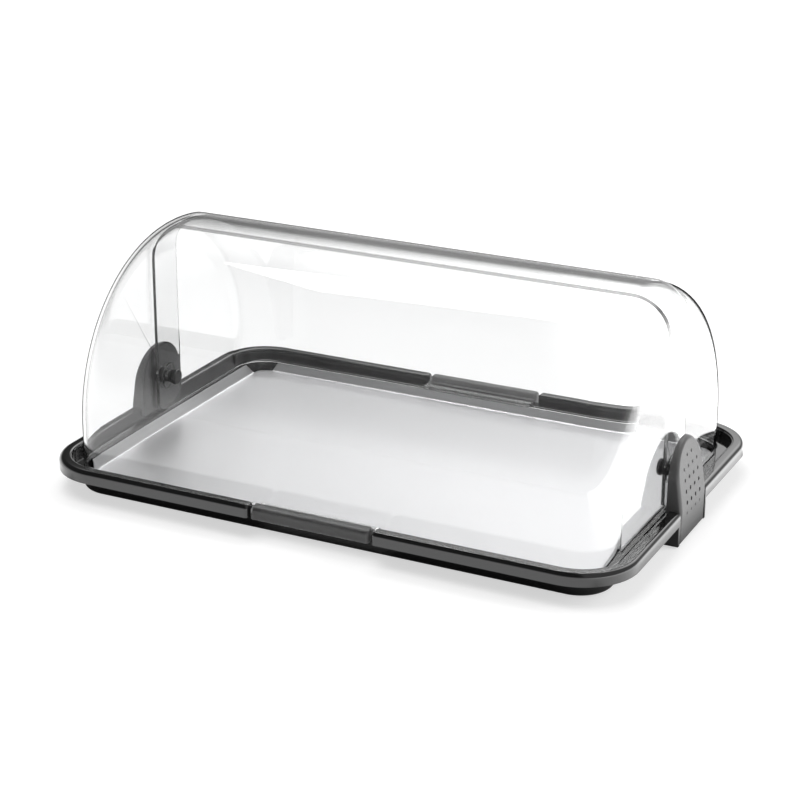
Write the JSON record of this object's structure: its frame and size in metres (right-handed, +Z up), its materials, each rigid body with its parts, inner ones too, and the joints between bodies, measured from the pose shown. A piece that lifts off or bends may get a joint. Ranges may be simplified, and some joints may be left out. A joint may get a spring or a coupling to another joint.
{
  "type": "roll top display case",
  "caption": "Countertop display case: a black moulded base with a steel tray, under two clear quarter-drum hoods that roll open about shared pins.",
  "frame": {"origin": "middle of the footprint, on the surface that the feet stand on", "axes": "+X along the length of the case, +Y from the front to the back, +Z up"},
  "size_m": [0.56, 0.377, 0.2214],
  "materials": {
    "black_gloss_plastic": "polished black moulded plastic",
    "stainless_steel": "fine satin sheet",
    "clear_plastic": "clear polished moulded plastic",
    "grey_plastic": "fine satin texture",
    "black_plastic": "half gloss",
    "screw_steel": "bright steel",
    "foot_rubber": "dull"
  },
  "bodies": {
    "base": {"base_tray": "black_gloss_plastic", "display_tray": "stainless_steel", "bracket_housing_left": "grey_plastic", "bracket_housing_right": "grey_plastic", "bracket_mount_left": "grey_plastic", "bracket_mount_right": "grey_plastic", "pivot_pin_left": "black_plastic", "pivot_pin_right": "black_plastic", "pin_cap_left": "black_plastic", "pin_cap_right": "black_plastic", "bracket_screw_front_left": "screw_steel", "bracket_screw_back_left": "screw_steel", "bracket_screw_front_right": "screw_steel", "bracket_screw_back_right": "screw_steel", "foot_front_left": "foot_rubber", "foot_back_left": "foot_rubber", "foot_front_right": "foot_rubber", "foot_back_right": "foot_rubber"},
    "front_cover": {"front_hood": "clear_plastic"},
    "rear_cover": {"rear_hood": "clear_plastic"}
  },
  "joints": [
    {"name": "front_hood_swing", "type": "hinge", "parent": "base", "child": "front_cover", "pos_m": [0, 0, 0.0574], "axis": [-1, 0, 0], "range_deg": [0, 42]},
    {"name": "rear_hood_swing", "type": "hinge", "parent": "base", "child": "rear_cover", "pos_m": [0, 0, 0.0574], "axis": [-1, 0, 0], "range_deg": [-42, 0]}
  ]
}
